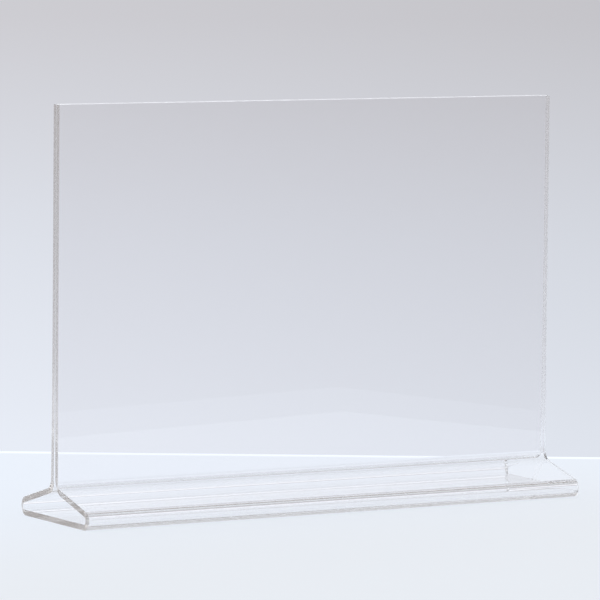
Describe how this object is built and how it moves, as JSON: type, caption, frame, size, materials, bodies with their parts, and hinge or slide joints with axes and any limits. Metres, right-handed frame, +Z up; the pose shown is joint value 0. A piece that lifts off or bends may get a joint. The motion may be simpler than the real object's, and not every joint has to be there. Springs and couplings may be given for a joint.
{
  "type": "photo album stand",
  "caption": "Free-standing T-shaped print holder: two clear upright walls held close together on a closed triangular foot, all one bent acrylic strip.",
  "frame": {"origin": "middle of the underside of the base plate", "axes": "+X along the bends, +Z up, the front faces -Y"},
  "size_m": [0.3, 0.074, 0.215],
  "materials": {
    "clear_acrylic": "clear cast acrylic, glossy faces, saw-cut edges"
  },
  "bodies": {
    "foot": {"base_plate": "clear_acrylic", "front_base_bend": "clear_acrylic", "front_ramp": "clear_acrylic", "front_neck_bend": "clear_acrylic", "rear_base_bend": "clear_acrylic", "rear_ramp": "clear_acrylic", "rear_neck_bend": "clear_acrylic"},
    "front_wall": {"front_wall": "clear_acrylic"},
    "rear_wall": {"rear_wall": "clear_acrylic"}
  },
  "joints": [
    {"name": "front_wall_flex", "type": "hinge", "parent": "foot", "child": "front_wall", "pos_m": [0, -0.00375, 0.02154], "axis": [1, 0, 0], "range_deg": [0, 3], "stiffness_Nm_per_rad": 33},
    {"name": "rear_wall_flex", "type": "hinge", "parent": "foot", "child": "rear_wall", "pos_m": [0, 0.00375, 0.02154], "axis": [-1, 0, 0], "range_deg": [0, 3], "stiffness_Nm_per_rad": 33}
  ]
}
